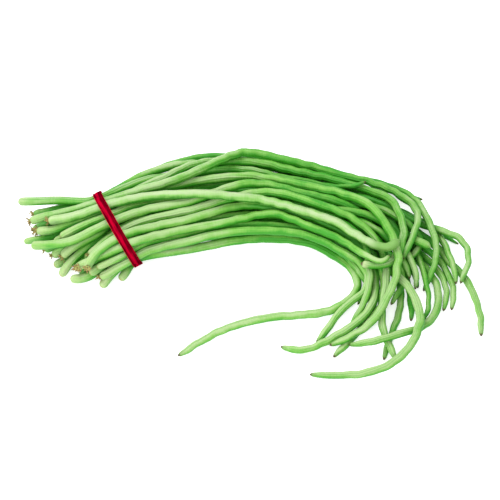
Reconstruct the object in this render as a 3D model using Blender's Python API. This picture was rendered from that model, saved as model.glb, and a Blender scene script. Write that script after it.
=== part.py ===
"""Yardlong bean bunch: loose green pods, each one solid, held by one strip of red tape.

Units are metres and +Z is up.  The origin is the middle of the bunch's outline on the table.
Stem ends lie towards -X, the tape is near them, and the loose tips spread towards +X and -Y.
"""

import math

import bmesh
import bpy
import numpy as np

for old in list(bpy.data.objects):
    bpy.data.objects.remove(old, do_unlink=True)

MM = 0.001

# Pod mesh.  Rings crowd together where a pod bends; lengths are millimetres from either end.
SIDES = 8
BODY_RINGS = 20
BODY_FROM = 14.0
BODY_LEFT = 24.0
BEND_WEIGHT = 45.0
SAMPLES = 160
INSIDE = math.cos(math.pi / SIDES)
STEM_POLE = 0.4
TIP_POLE = 0.6
POD_SHARP = 50.0
LOW_MM = 0.01

# Laying the pods out, in millimetres.  A pod that shows moves mostly along the sight line.
GAP = 0.34
ROUNDS = 1800
FRESH_PAIRS = 20
PAIR_REACH = 12.0
LATE_SHARE = 0.6
SINK = 0.05
PUSH_RATE = 0.9
LEAST_SHARE = 0.15
SIDEWAYS_HOLD = 0.55
SPREAD_EARLY, SPREAD_LATE = 0.25, 0.004
PULL_HOME = 0.03
ROUTE_SMOOTHING = 30
HIDDEN_HOLD = 0.2
MIDDLE_X = -5.0
HELD_FROM, HELD_FULL = 115.0, 140.0
TIP_ROOM = 14.0

# The tape, in millimetres.
TAPE_WIDTH = 9.0
TAPE_THICK = 0.7
TAPE_GAP = 0.3
TAPE_REACH = 75.0
TAPE_CUTS = 5
TAPE_TURNS = 24
TAPE_EDGE = 1.2
TAPE_SHARP = 30.0
LIFT_NEAR = 52.0
LIFT_FULL, LIFT_NONE = 20.0, 45.0

# The turn of tape leans back over the stem ends: a point on it, its facing, the way it is drawn
# out in width, the two ways it runs, and how far it reaches as seen along the sight line.
TAPE_AT = np.array((-118.2, 10.3, 0.0))
TAPE_FACE = np.array((0.862, 0.415, 0.291))
TAPE_AHEAD = np.array((0.839, 0.545, 0.0))
TAPE_LEFT = np.array((-0.434, 0.901, 0.0))
TAPE_RISE = np.array((-0.274, -0.132, 1.0))
TAPE_DRAWN = np.array((-0.505, 0.707, 0.495))
TAPE_ENDS = (-23.5, 52.5)

# The sight line: routes are drawn on a face that leans back from the viewer, 55 degrees up.
SIGHT = math.radians(55.0)
SIN_S = math.sin(SIGHT)
COS_S = math.cos(SIGHT)
AWAY = np.array((0.0, COS_S, -SIN_S))

# Middle of the bunch along its length: x, y, heading in degrees and half width, millimetres.
TIE = (-125.6, 10.3, 36.0, 43.0)
SPINE = (
    (-86.0, 33.0, 22.0, 49.0),
    (-40.0, 46.0, 8.0, 54.0),
    (9.0, 51.0, -5.0, 50.0),
    (47.0, 46.0, -17.0, 47.0),
    (85.0, 33.0, -30.0, 45.0),
    (126.0, 22.0, -50.0, 38.0),
)

# Pods that show on the upper face.  Each row is a name, a radius and a route from stem end to
# tip; a route point is (across, up the leaning face, height above the table), millimetres.
UPPER = (
    ("pod_top_01", 4.4, (
        (-190, 29, 30), (-171, 31, 32), (-157, 35, 35), (-135, 43, 38), (-114, 48, 37),
        (-95, 51, 36), (-47, 52, 35), (-19, 51, 35), (9, 49, 34), (28, 44, 34), (47, 39, 33),
        (71, 31, 33), (85, 26, 33), (100, 15, 32), (114, 7, 32), (123, 3, 33), (133, 1, 35),
        (139, 5, 38), (142, 8, 41))),
    ("pod_top_02", 4.3, (
        (-201, 18, 26), (-195, 17, 27), (-180, 19, 29), (-157, 28, 32), (-142, 32, 33),
        (-128, 38, 32), (-114, 47, 30), (-100, 52, 28), (-85, 56, 28), (-57, 63, 27),
        (-38, 66, 27), (-19, 68, 27), (9, 68, 27), (47, 60, 26), (85, 50, 25), (104, 44, 24),
        (114, 37, 25), (123, 27, 25), (129, 19, 25), (133, 10, 25), (137, -4, 26),
        (138, -19, 24), (136, -28, 22), (133, -38, 20), (128, -48, 17), (123, -58, 15),
        (116, -67, 12), (104, -76, 9), (87, -85, 5), (76, -89, 4))),
    ("pod_back_01", 4.2, (
        (-208, 28, 24), (-190, 33, 26), (-161, 39, 29), (-145, 44, 31), (-133, 46, 33),
        (-114, 51, 31), (-95, 57, 30), (-76, 62, 29), (-57, 70, 28), (-38, 79, 27),
        (-18, 88, 24), (-8, 92, 22), (9, 91, 21), (28, 88, 21), (47, 83, 21), (76, 76, 20),
        (104, 68, 20), (123, 63, 20), (138, 57, 20), (147, 51, 20), (155, 45, 20),
        (160, 38, 21), (161, 28, 22), (159, 20, 22), (154, 9, 21), (149, -1, 19),
        (145, -9, 16))),
    ("pod_back_02", 4.1, (
        (-206, 35, 20), (-190, 37, 21), (-176, 40, 22), (-161, 44, 24), (-147, 50, 25),
        (-137, 56, 25), (-123, 64, 24), (-104, 74, 20), (-85, 80, 18), (-66, 84, 17), (-47, 84, 17),
        (-19, 83, 15), (9, 82, 13), (47, 74, 12), (85, 63, 11), (123, 45, 9), (142, 33, 7),
        (162, 24, 6), (174, 20, 6), (182, 18, 6), (190, 15, 6), (200, 11, 6), (205, 6, 6),
        (209, -2, 6), (209, -9, 6), (207, -16, 6), (203, -24, 6), (200, -31, 6))),
    ("pod_back_03", 4.1, (
        (-206, 20, 18), (-180, 29, 18), (-157, 39, 19), (-145, 45, 20), (-123, 57, 16),
        (-95, 73, 12), (-71, 83, 10), (-57, 86, 10), (-47, 89, 10),
        (-24, 89, 10), (-14, 88, 10), (9, 88, 9), (47, 80, 8), (90, 71, 9), (123, 64, 10),
        (138, 60, 10), (150, 53, 10), (159, 47, 11), (165, 38, 12), (170, 29, 12),
        (174, 19, 12), (177, 9, 12), (178, 0, 12), (176, -11, 12), (173, -21, 11),
        (169, -28, 9), (165, -38, 7))),
    ("pod_back_04", 4.0, (
        (-221, 47, 14), (-190, 47, 18), (-171, 48, 21), (-152, 49, 25), (-136, 53, 27),
        (-119, 60, 26), (-95, 70, 23), (-47, 77, 21), (-19, 81, 20), (9, 77, 20),
        (38, 69, 20), (57, 66, 19), (85, 58, 18), (104, 50, 17), (123, 38, 15),
        (137, 27, 11), (143, 14, 9), (147, 0, 8), (153, -14, 8), (158, -25, 7),
        (160, -35, 5))),
    ("pod_back_05", 4.0, (
        (-188, 26, 21), (-161, 37, 26), (-133, 48, 31), (-114, 55, 29), (-95, 63, 27),
        (-81, 68, 25), (-60, 79, 23), (-38, 84, 21), (-14, 86, 19), (0, 85, 20),
        (19, 84, 20), (38, 77, 20), (57, 74, 19), (85, 65, 18), (104, 58, 17),
        (114, 54, 17), (123, 50, 17), (133, 45, 17), (139, 38, 18), (142, 28, 18),
        (146, 21, 18), (146, 10, 18), (144, 2, 17), (140, -6, 17), (133, -12, 17),
        (124, -14, 18), (114, -13, 20), (106, -11, 22))),
    ("pod_mid_01", 4.1, (
        (-179, 12, 30), (-169, 18, 32), (-157, 23, 34), (-135, 33, 37), (-128, 36, 37),
        (-114, 42, 33), (-95, 44, 29), (-57, 48, 26), (-19, 50, 25), (19, 46, 24),
        (47, 40, 23), (76, 30, 22), (95, 19, 20), (110, 4, 18), (113, -13, 15),
        (115, -30, 12), (112, -48, 9), (104, -64, 6), (95, -80, 5))),
    ("pod_mid_02", 4.2, (
        (-206, 5, 22), (-190, 5, 24), (-176, 6, 27), (-161, 11, 31), (-135, 24, 36),
        (-124, 29, 36), (-95, 38, 32), (-66, 43, 30), (-47, 47, 28), (-28, 53, 26),
        (-9, 59, 26), (9, 62, 25), (47, 54, 25), (85, 45, 24), (104, 35, 20), (117, 23, 16),
        (120, 9, 12), (120, -5, 10), (119, -21, 10), (119, -34, 11), (118, -46, 12),
        (112, -56, 12), (103, -66, 10), (92, -73, 8), (81, -80, 6), (68, -87, 5),
        (55, -92, 4), (43, -93, 4), (30, -90, 4))),
    ("pod_mid_03", 4.2, (
        (-151, -4, 30), (-145, 0, 32), (-140, 6, 33), (-122, 18, 36), (-114, 23, 36),
        (-95, 30, 33), (-66, 36, 31), (-47, 41, 30), (-33, 46, 28), (-9, 50, 26),
        (9, 53, 25), (28, 52, 25), (47, 47, 25), (85, 34, 23), (104, 23, 20), (119, 9, 17),
        (126, -6, 14), (127, -19, 13), (127, -33, 12), (125, -47, 10), (124, -58, 8),
        (124, -68, 6), (125, -79, 5), (130, -88, 4), (137, -103, 4))),
    ("pod_mid_04", 4.2, (
        (-153, -17, 22), (-147, -10, 25), (-140, -3, 28), (-120, 9, 33), (-114, 12, 33),
        (-95, 19, 31), (-66, 27, 30), (-47, 33, 29), (-28, 39, 29), (-9, 44, 29),
        (9, 44, 29), (28, 41, 27), (47, 37, 26), (76, 28, 24), (95, 17, 20), (109, 4, 16),
        (118, -11, 12), (121, -28, 9), (120, -47, 7), (115, -59, 6), (107, -68, 5))),
    ("pod_front_01", 4.2, (
        (-163, -17, 18), (-159, -15, 19), (-142, -9, 23), (-123, 1, 28), (-110, 7, 30),
        (-66, 19, 28), (-47, 23, 27), (-28, 26, 27), (-9, 31, 27), (9, 35, 27), (24, 37, 28),
        (47, 28, 28), (76, 15, 26), (90, 7, 25), (102, -3, 25), (112, -10, 27), (119, -14, 29),
        (127, -13, 32), (132, -6, 34))),
    ("pod_front_02", 3.2, (
        (-144, -16, 17), (-128, -9, 21), (-116, -3, 24), (-107, 3, 25), (-85, 9, 23),
        (-66, 13, 22), (-47, 18, 20), (-9, 24, 18), (47, 20, 16), (76, 8, 13), (95, -2, 10),
        (108, -15, 8), (114, -28, 7), (112, -42, 6), (104, -54, 5))),
    ("pod_front_03", 4.2, (
        (-140, -24, 12), (-137, -23, 13), (-130, -17, 16), (-117, -9, 20), (-104, -1, 22),
        (-90, 4, 21), (-66, 9, 19), (-47, 13, 18), (-28, 17, 18), (-9, 19, 18), (9, 20, 18),
        (47, 17, 17), (66, 11, 16), (90, -3, 14), (104, -11, 13), (112, -19, 12),
        (116, -28, 11), (113, -38, 11), (102, -46, 10), (91, -53, 9), (84, -62, 8),
        (76, -72, 6), (68, -83, 5), (64, -88, 4))),
    ("pod_front_04", 4.2, (
        (-140, -35, 5), (-134, -26, 8), (-127, -18, 11), (-108, -8, 16), (-95, -5, 14),
        (-66, 1, 12), (-47, 4, 11), (-28, 9, 11), (-9, 11, 10), (9, 13, 10), (47, 11, 9),
        (62, 8, 8), (76, 0, 7), (90, -9, 6), (100, -17, 5), (107, -28, 4), (110, -36, 4),
        (106, -45, 4), (95, -52, 4), (84, -58, 4), (71, -61, 4), (38, -64, 4), (19, -65, 4),
        (5, -67, 4), (-9, -72, 4), (-24, -76, 4), (-36, -81, 4), (-47, -87, 4), (-57, -94, 4),
        (-66, -99, 4))),
)

# Pods whose far end is thick and rounded instead of drawn out to a beak.
BLUNT = ("pod_top_01", "pod_back_05", "pod_core_14")

# Pods that run inside the bunch.  Each row is a name, a radius, the stem's route, where the pod
# passes the tape and the crown of the bunch (across, height), and the tip's route.
INNER = (
    ("pod_core_01", 4.1, ((-148, -18, 4),), (-22, 5.2), (-22, 4.2), (
        (126, -3, 7), (134, -12, 11), (142, -21, 16), (150, -28, 18), (156, -36, 18), (160, -47, 18),
        (162, -58, 18), (161, -68, 18), (157, -79, 16), (149, -89, 13), (142, -99, 11),
        (133, -105, 10), (122, -110, 7), (108, -114, 5), (95, -116, 4), (81, -116, 4), (57, -115, 4))),
    ("pod_core_02", 4.1, ((-160, -25, 5),), (-13, 5.2), (-13, 4.2), (
        (174, -25, 6), (177, -34, 6), (178, -46, 6), (177, -57, 6), (171, -66, 7),
        (163, -72, 9), (152, -76, 11), (138, -80, 12), (119, -85, 11), (105, -87, 7),
        (93, -88, 4))),
    ("pod_core_03", 4.0, ((-185, -16, 5),), (-4.5, 5.2), (-4.5, 4.2), (
        (175, -17, 6), (180, -26, 5), (185, -35, 5), (186, -45, 5), (183, -58, 5))),
    ("pod_core_04", 4.1, ((-172, -4, 5),), (4.5, 5.2), (4.5, 4.2), (
        (178, -11, 6), (185, -19, 5), (190, -28, 5), (193, -37, 5), (193, -47, 5),
        (191, -57, 5))),
    ("pod_core_05", 4.2, ((-190, 4, 5),), (13, 5.2), (13, 4.2), (
        (179, 0, 5), (185, -8, 5), (192, -16, 5), (200, -23, 5), (205, -29, 5),
        (210, -38, 5), (214, -47, 5), (217, -57, 5), (218, -66, 5), (218, -81, 5))),
    ("pod_core_06", 4.0, ((-180, 14, 5),), (22, 5.2), (22, 4.2), (
        (174, 21, 5), (183, 9, 5), (188, -1, 5), (191, -10, 5), (195, -21, 5),
        (196, -32, 5))),
    ("pod_core_07", 4.0, ((-127, -32, 8),), (-35, 12), (-31, 4.2), (
        (118, -30, 5), (118, -50, 4), (108, -72, 4), (88, -92, 4), (79, -101, 4))),
    ("pod_core_08", 4.0, ((-143, -15, 9),), (-26, 12), (-27, 11.7), (
        (122, -26, 9), (122, -44, 6),)),
    ("pod_core_09", 4.2, ((-169, -26, 8), (-157, -25, 10), (-142, -17, 13)),
        (-17.5, 12), (-18, 11.7), (
        (134, -6, 11), (142, -18, 12), (145, -32, 12), (140, -41, 11), (134, -51, 10))),
    ("pod_core_10", 4.0, ((-165, -20, 7),), (-9, 12), (-9, 11.7), (
        (144, -30, 8), (144, -46, 7), (143, -57, 6), (140, -68, 4), (135, -81, 4),
        (131, -90, 4), (126, -105, 4))),
    ("pod_core_11", 4.1, ((-187, -5, 12),), (0, 12), (0, 11.7), (
        (147, -20, 10), (150, -36, 9), (151, -47, 8), (153, -59, 7), (152, -67, 6))),
    ("pod_core_12", 4.1, ((-195, 1, 13),), (9, 12), (9, 11.7), (
        (144, 12, 8), (151, -4, 7))),
    ("pod_core_13", 3.4, ((-214, 8, 10), (-195, 10, 13)), (17.5, 12), (18, 11.7), (
        (152, 6, 12), (158, -6, 12), (162, -14, 11), (168, -25, 10), (170, -36, 9),
        (171, -47, 8), (169, -58, 8), (164, -66, 7))),
    ("pod_core_14", 4.1, ((-188, 25, 12),), (26, 12), (27, 11.7), (
        (148, 14, 12), (157, 8, 14), (164, 5, 15), (171, 2, 15))),
    ("pod_core_15", 2.9, ((-185, 33, 10),), (35, 12), (31, 4.2), (
        (164, 18, 5), (174, 12, 4), (184, 8, 4), (192, 5, 4), (200, 2, 4))),
    ("pod_core_16", 4.0, ((-142, -12, 10),), (-31, 19.5), (-36, 11.7), (
        (116, -36, 7), (106, -52, 6),)),
    ("pod_core_17", 4.1, ((-150, -22, 13),), (-22, 19.5), (-22, 19.2), (
        (112, 2, 13), (117, -14, 10),)),
    ("pod_core_18", 4.1, ((-155, -8, 13),), (-13, 19.5), (-13, 19.2), (
        (124, 6, 12), (128, -10, 9))),
    ("pod_core_19", 4.1, ((-178, -25, 8), (-166, -11, 14), (-154, 0, 20), (-142, 9, 23)),
        (-4.5, 21), (-4.5, 19.2), (
        (150, -10, 12), (155, -19, 11), (157, -29, 10), (156, -37, 9))),
    ("pod_core_20", 4.2, ((-177, -5, 20), (-171, 0, 23), (-160, 6, 26), (-140, 15, 29)),
        (4.5, 26), (4.5, 19.2), (
        (138, 6, 14), (146, -14, 12), (148, -28, 10))),
    ("pod_core_21", 4.1, ((-185, 7, 20),), (13, 21), (13, 19.2), (
        (160, 8, 14), (158, 0, 13), (151, -9, 12), (144, -17, 11), (136, -30, 9))),
    ("pod_core_22", 3.2, ((-192, 18, 20),), (22, 20), (22, 19.2), (
        (71, 63, 17), (90, 62, 18), (104, 63, 21), (115, 67, 26))),
    ("pod_core_23", 3.4, ((-195, 30, 18),), (31, 19.5), (40, 10), (
        (138, 56, 6), (150, 52, 6), (160, 49, 8), (167, 48, 10))),
)


def face_point(x, up, height):
    """A drawn point as x, y, z."""
    return x, (up - height * COS_S) / SIN_S, height


def bunch_point(station, across, height):
    """A point inside the bunch: across is from the middle, positive away from the viewer."""
    x, y, heading, _ = station
    turn = math.radians(heading)
    return x - across * math.sin(turn), y + across * math.cos(turn), height


def inner_route(stem, tie, crown, tip):
    """Route of a pod inside the bunch, from stem end to tip."""
    route = [face_point(*p) for p in stem]
    route.append(bunch_point(TIE, *tie))
    crown_share = crown[0] / SPINE[1][3]
    last = face_point(*tip[0])
    for station in SPINE:
        if station[0] > last[0] - TIP_ROOM:
            break
        route.append(bunch_point(station, crown_share * station[3], crown[1]))
    return route + [face_point(*p) for p in tip]


def smooth_curve(route, count=400):
    """A dense smooth curve through the route points."""
    p = np.array(route, float)
    p = np.vstack((2 * p[0] - p[1], p, 2 * p[-1] - p[-2]))
    step = np.maximum(np.linalg.norm(np.diff(p, axis=0), axis=1), 1e-6) ** 0.5
    knot = np.concatenate(((0.0,), np.cumsum(step)))
    t = np.linspace(knot[1], knot[-2], count)
    k = np.clip(np.searchsorted(knot, t, side="right") - 1, 1, len(p) - 3)
    t0, t1, t2, t3 = (knot[k + i][:, None] for i in (-1, 0, 1, 2))
    p0, p1, p2, p3 = (p[k + i] for i in (-1, 0, 1, 2))
    t = t[:, None]
    a1 = ((t1 - t) * p0 + (t - t0) * p1) / (t1 - t0)
    a2 = ((t2 - t) * p1 + (t - t1) * p2) / (t2 - t1)
    a3 = ((t3 - t) * p2 + (t - t2) * p3) / (t3 - t2)
    b1 = ((t2 - t) * a1 + (t - t0) * a2) / (t2 - t0)
    b2 = ((t3 - t) * a2 + (t - t1) * a3) / (t3 - t1)
    return ((t2 - t) * b1 + (t - t1) * b2) / (t2 - t1)


def relax(curve, passes):
    """Evens out small wobbles, keeping both ends."""
    for _ in range(passes):
        curve[1:-1] = 0.5 * curve[1:-1] + 0.25 * (curve[:-2] + curve[2:])
    return curve


def at_lengths(curve, lengths):
    """Points of the curve at the given distances from its start."""
    run = np.concatenate(((0.0,), np.cumsum(np.linalg.norm(np.diff(curve, axis=0), axis=1))))
    return np.column_stack([np.interp(lengths, run, curve[:, i]) for i in range(3)])


def ring_lengths(curve):
    """Distances of the rings along a pod: closer where it bends, and close at both ends."""
    seg = np.linalg.norm(np.diff(curve, axis=0), axis=1)
    run = np.concatenate(((0.0,), np.cumsum(seg)))
    even = at_lengths(curve, np.linspace(0.0, run[-1], SAMPLES))
    tangent = np.gradient(even, axis=0)
    tangent /= np.linalg.norm(tangent, axis=1)[:, None]
    bend = np.linalg.norm(np.gradient(tangent, axis=0), axis=1) / (run[-1] / (SAMPLES - 1))
    bend = np.convolve(np.pad(bend, 4, mode="edge"), np.ones(9) / 9.0, mode="valid")
    cost = np.concatenate(((0.0,), np.cumsum(1.0 + BEND_WEIGHT * bend[1:])))
    s = np.linspace(0.0, run[-1], SAMPLES)
    first, last = np.interp((BODY_FROM, run[-1] - BODY_LEFT), s, cost)
    body = np.interp(np.linspace(first, last, BODY_RINGS), cost, s)
    return np.concatenate(((0.0, 1.6, 5.0), body, (run[-1] - 11.0, run[-1] - 2.5, run[-1])))


def ring_radii(lengths, radius, blunt):
    """A blunt stem end, an even body and a tip that thins out over its last few centimetres."""
    left = lengths[-1] - lengths
    taper = (0.50, 0.84, 0.96, 0.96, 0.94, 1.0) if blunt else (0.26, 0.44, 0.62, 0.77, 0.85, 1.0)
    radii = radius * np.interp(left, (0.0, 2.5, 11.0, 34.0, 80.0, 270.0), taper)
    return radii * np.interp(lengths, (0.0, 1.6, 5.0), (0.42, 0.84, 1.0))


def closest(p, u, q, v):
    """Nearest points of segment pairs, as shares along each segment."""
    w = p - q
    a = (u * u).sum(1)
    b = (u * v).sum(1)
    c = (v * v).sum(1)
    d = (u * w).sum(1)
    e = (v * w).sum(1)
    det = np.maximum(a * c - b * b, 1e-9)
    s = np.clip((b * e - c * d) / det, 0.0, 1.0)
    t = np.clip((b * s + e) / c, 0.0, 1.0)
    s = np.clip((b * t - d) / a, 0.0, 1.0)
    return s, t


class Pile:
    """All pods as chains of points that get eased apart until none touch."""

    def __init__(self, chains, radii, seen):
        self.at = np.array(chains)
        self.home = self.at.copy()
        self.radii = np.array(radii)
        self.seen = np.array(seen)[..., None]
        self.pods, self.rings = self.at.shape[:2]

    def near_pairs(self, reach):
        """Segment pairs of different pods whose middles are close."""
        mid = (0.5 * (self.at[:, 1:] + self.at[:, :-1])).reshape(-1, 3)
        half = 0.5 * np.linalg.norm(self.at[:, 1:] - self.at[:, :-1], axis=2).reshape(-1)
        pod = np.repeat(np.arange(self.pods), self.rings - 1)
        rows = []
        for i in range(len(mid)):
            away = np.linalg.norm(mid[i + 1:] - mid[i], axis=1)
            hit = np.nonzero((away < half[i] + half[i + 1:] + reach) & (pod[i + 1:] != pod[i]))[0]
            rows.append(np.column_stack((np.full(len(hit), i), hit + i + 1)))
        return np.vstack(rows)

    def split(self, segment):
        """Point numbers at both ends of segments."""
        first = segment // (self.rings - 1) * self.rings + segment % (self.rings - 1)
        return first, first + 1

    def clash(self, pairs, gap):
        """How deep each pair is inside its clearance, with the push direction and shares."""
        flat = self.at.reshape(-1, 3)
        thick = self.radii.reshape(-1)
        a0, a1 = self.split(pairs[:, 0])
        b0, b1 = self.split(pairs[:, 1])
        p, q = flat[a0], flat[b0]
        u, v = flat[a1] - p, flat[b1] - q
        s, t = closest(p, u, q, v)
        apart = p + s[:, None] * u - q - t[:, None] * v
        away = np.linalg.norm(apart, axis=1)
        ra = np.maximum(thick[a0], thick[a1])
        rb = np.maximum(thick[b0], thick[b1])
        deep = ra + rb + gap - away
        hit = deep > 0.0
        side = apart[hit] / np.maximum(away[hit], 1e-6)[:, None]
        return deep[hit], side, s[hit], t[hit], (a0[hit], a1[hit], b0[hit], b1[hit])

    def push(self, pairs, gap, rate):
        """Moves every clashing pair apart and returns the deepest clash."""
        deep, side, s, t, ends = self.clash(pairs, gap)
        if not len(deep):
            return 0.0
        shift = np.zeros((self.pods * self.rings, 3))
        load = np.zeros(self.pods * self.rings)
        for node, share, sign in zip(ends, (1 - s, s, 1 - t, t), (1, 1, -1, -1)):
            weight = np.maximum(share, LEAST_SHARE)
            part = (sign * weight * deep * 0.5)[:, None] * side
            for axis in range(3):
                shift[:, axis] += np.bincount(node, part[:, axis], len(load))
            load += np.bincount(node, weight, len(load))
        shift = rate * shift / np.maximum(load, 1.0)[:, None]
        shift = shift.reshape(self.at.shape)
        along = (shift @ AWAY)[..., None] * AWAY
        self.at += along + (shift - along) * (1.0 - SIDEWAYS_HOLD * self.seen)
        return float(deep.max())

    def settle(self, rate):
        """Lets pods sink a little; those that show sink along the sight line."""
        self.at += rate * (self.seen * AWAY + (1.0 - self.seen) * np.array((0.0, 0.0, -1.0)))

    def soften(self, rate, pull):
        """Spreads each pod's own shift along its length and draws it back to its route."""
        move = self.at - self.home
        mean = move.copy()
        mean[:, 1:-1] = 0.5 * (move[:, :-2] + move[:, 2:])
        mean[:, 0] = move[:, 1]
        mean[:, -1] = move[:, -2]
        move = move + rate * (mean - move)
        along = (move @ AWAY)[..., None] * AWAY
        across = move - along
        self.at = self.home + along + across * (1.0 - pull * self.seen)

    def stand(self):
        """Keeps every pod above the table, and above the tape where it passes underneath."""
        off = self.at - TAPE_AT
        near = np.hypot(off[..., 0], off[..., 1]) < LIFT_NEAR
        lift = np.interp(np.abs(off @ TAPE_FACE), (LIFT_FULL, LIFT_NONE), (1.0, 0.0)) * near
        floor = self.radii * INSIDE + LOW_MM
        floor += lift * (TAPE_THICK + TAPE_GAP + self.radii * (1.0 - INSIDE))
        self.at[..., 2] = np.maximum(self.at[..., 2], floor)

    def gird(self):
        """Keeps pods between both ends of the turn of tape where they pass through it."""
        off = self.at - TAPE_AT
        place = off @ TAPE_FACE
        drawn = off @ TAPE_DRAWN
        thick = np.maximum(self.radii[:, :-1], self.radii[:, 1:]) * INSIDE
        near = np.linalg.norm(off[:, :-1], axis=2) < TAPE_REACH
        pod, ring = np.nonzero((place[:, :-1] * place[:, 1:] < 0.0) & near)
        share = place[pod, ring] / (place[pod, ring] - place[pod, ring + 1])
        spot = drawn[pod, ring] + share * (drawn[pod, ring + 1] - drawn[pod, ring])
        thick = thick[pod, ring]
        over = np.maximum(spot + thick - TAPE_ENDS[1], 0.0)
        over += np.minimum(spot - thick - TAPE_ENDS[0], 0.0)
        move = -over[:, None] * TAPE_LEFT / (TAPE_LEFT @ TAPE_DRAWN)
        for step in (0, 1):
            self.at[pod, ring + step] += move

    def ease(self, rounds):
        """Eases all pods apart; the last rounds only separate."""
        for turn in range(rounds):
            if turn % FRESH_PAIRS == 0:
                self.at = np.round(self.at, 4)
                pairs = self.near_pairs(PAIR_REACH)
            late = turn > rounds * LATE_SHARE
            if not late:
                self.settle(SINK)
            deep = self.push(pairs, GAP, PUSH_RATE)
            self.soften(SPREAD_LATE if late else SPREAD_EARLY, 0.0 if late else PULL_HOME)
            self.gird()
            self.stand()
        return deep


def lay_out():
    """Names, ring centres and ring radii of all pods, eased apart, in millimetres."""
    names, chains, radii, seen = [], [], [], []
    routes = [(n, r, [face_point(*p) for p in pts], 1.0) for n, r, pts in UPPER]
    routes += [(n, r, inner_route(*rest), HIDDEN_HOLD) for n, r, *rest in INNER]
    for name, radius, route, shows in routes:
        curve = relax(smooth_curve(route), ROUTE_SMOOTHING)
        lengths = ring_lengths(curve)
        names.append(name)
        chains.append(at_lengths(curve, lengths))
        radii.append(ring_radii(lengths, radius, name in BLUNT))
        out = np.abs(chains[-1][:, 0] - MIDDLE_X)
        seen.append(np.interp(out, (HELD_FROM, HELD_FULL), (shows, 1.0)))
    pile = Pile(chains, radii, seen)
    deep = pile.ease(ROUNDS)
    print(f"deepest clash left: {deep:.3f} mm of the {GAP} mm gap")
    return names, pile.at, pile.radii


def paint(ob, colour, roughness):
    """Gives an object its own plain material."""
    material = bpy.data.materials.new(ob.name + "_finish")
    material.use_nodes = True
    shader = material.node_tree.nodes["Principled BSDF"]
    shader.inputs["Base Color"].default_value = (*colour, 1.0)
    shader.inputs["Roughness"].default_value = roughness
    shader.inputs["Metallic"].default_value = 0.0
    ob.data.materials.append(material)


def solid(name, verts, faces, smooth_angle):
    """A closed mesh object from millimetre points, facing outward."""
    mesh = bpy.data.meshes.new(name)
    mesh.from_pydata([tuple(float(c) * MM for c in v) for v in verts], [], faces)
    work = bmesh.new()
    work.from_mesh(mesh)
    bmesh.ops.recalc_face_normals(work, faces=work.faces)
    work.to_mesh(mesh)
    work.free()
    mesh.shade_smooth()
    mesh.set_sharp_from_angle(angle=math.radians(smooth_angle))
    ob = bpy.data.objects.new(name, mesh)
    bpy.context.scene.collection.objects.link(ob)
    return ob


def pod(name, chain, radii):
    """One pod: rings along its line with a flat facet underneath, closed by a point at each end."""
    step = np.diff(chain, axis=0)
    step /= np.linalg.norm(step, axis=1)[:, None]
    ahead = np.vstack((step[:1], step[:-1] + step[1:], step[-1:]))
    ahead /= np.linalg.norm(ahead, axis=1)[:, None]
    side = np.cross((0.0, 0.0, 1.0), ahead)
    side /= np.linalg.norm(side, axis=1)[:, None]
    rise = np.cross(ahead, side)
    verts = [chain[0] - ahead[0] * radii[0] * STEM_POLE]
    for c, r, x, z in zip(chain, radii, side, rise):
        for k in range(SIDES):
            turn = 2.0 * math.pi * (k + 0.5) / SIDES
            verts.append(c + r * (math.sin(turn) * x - math.cos(turn) * z))
    verts.append(chain[-1] + ahead[-1] * radii[-1] * TIP_POLE)
    last = len(verts) - 1
    faces = []
    for k in range(SIDES):
        n = (k + 1) % SIDES
        faces.append((0, 1 + n, 1 + k))
        faces.append((last, last - SIDES + k, last - SIDES + n))
        for ring in range(len(chain) - 1):
            a = 1 + ring * SIDES
            b = a + SIDES
            faces.append((a + k, a + n, b + n, b + k))
    return solid(name, verts, faces, POD_SHARP)


def tie_circles(chains, radii):
    """Where the pods pass under the tape: across, height and radius of each, every few mm."""
    found = []
    for chain, thick in zip(chains, radii):
        place = (chain - TAPE_AT) @ TAPE_FACE / (TAPE_AHEAD @ TAPE_FACE)
        for offset in np.linspace(-0.5 * TAPE_WIDTH, 0.5 * TAPE_WIDTH, TAPE_CUTS):
            for i in np.nonzero((place[:-1] - offset) * (place[1:] - offset) < 0.0)[0]:
                share = (offset - place[i]) / (place[i + 1] - place[i])
                step = chain[i + 1] - chain[i]
                spot = chain[i] + share * step - TAPE_AT
                if np.linalg.norm(spot) > TAPE_REACH:
                    continue
                flat = spot - offset * TAPE_AHEAD - spot[2] * TAPE_RISE
                lean = abs(step @ TAPE_FACE) / np.linalg.norm(step)
                wide = max(thick[i], thick[i + 1]) / lean
                found.append((flat @ TAPE_LEFT, spot[2], wide))
    return found


def hull(points):
    """Convex outline of flat points, counter-clockwise."""
    ordered = sorted(set(points))
    halves = []
    for run in (ordered, ordered[::-1]):
        half = []
        for p in run:
            while len(half) > 1:
                (ax, ay), (bx, by) = half[-2], half[-1]
                if (bx - ax) * (p[1] - ay) - (by - ay) * (p[0] - ax) > 1e-6:
                    break
                half.pop()
            half.append(p)
        halves += half[:-1]
    return halves


def thin_out(outline, least):
    """Drops outline points that lie closer than least to the one before."""
    kept = [outline[0]]
    for p in outline[1:]:
        if math.dist(p, kept[-1]) > least:
            kept.append(p)
    return kept


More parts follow.
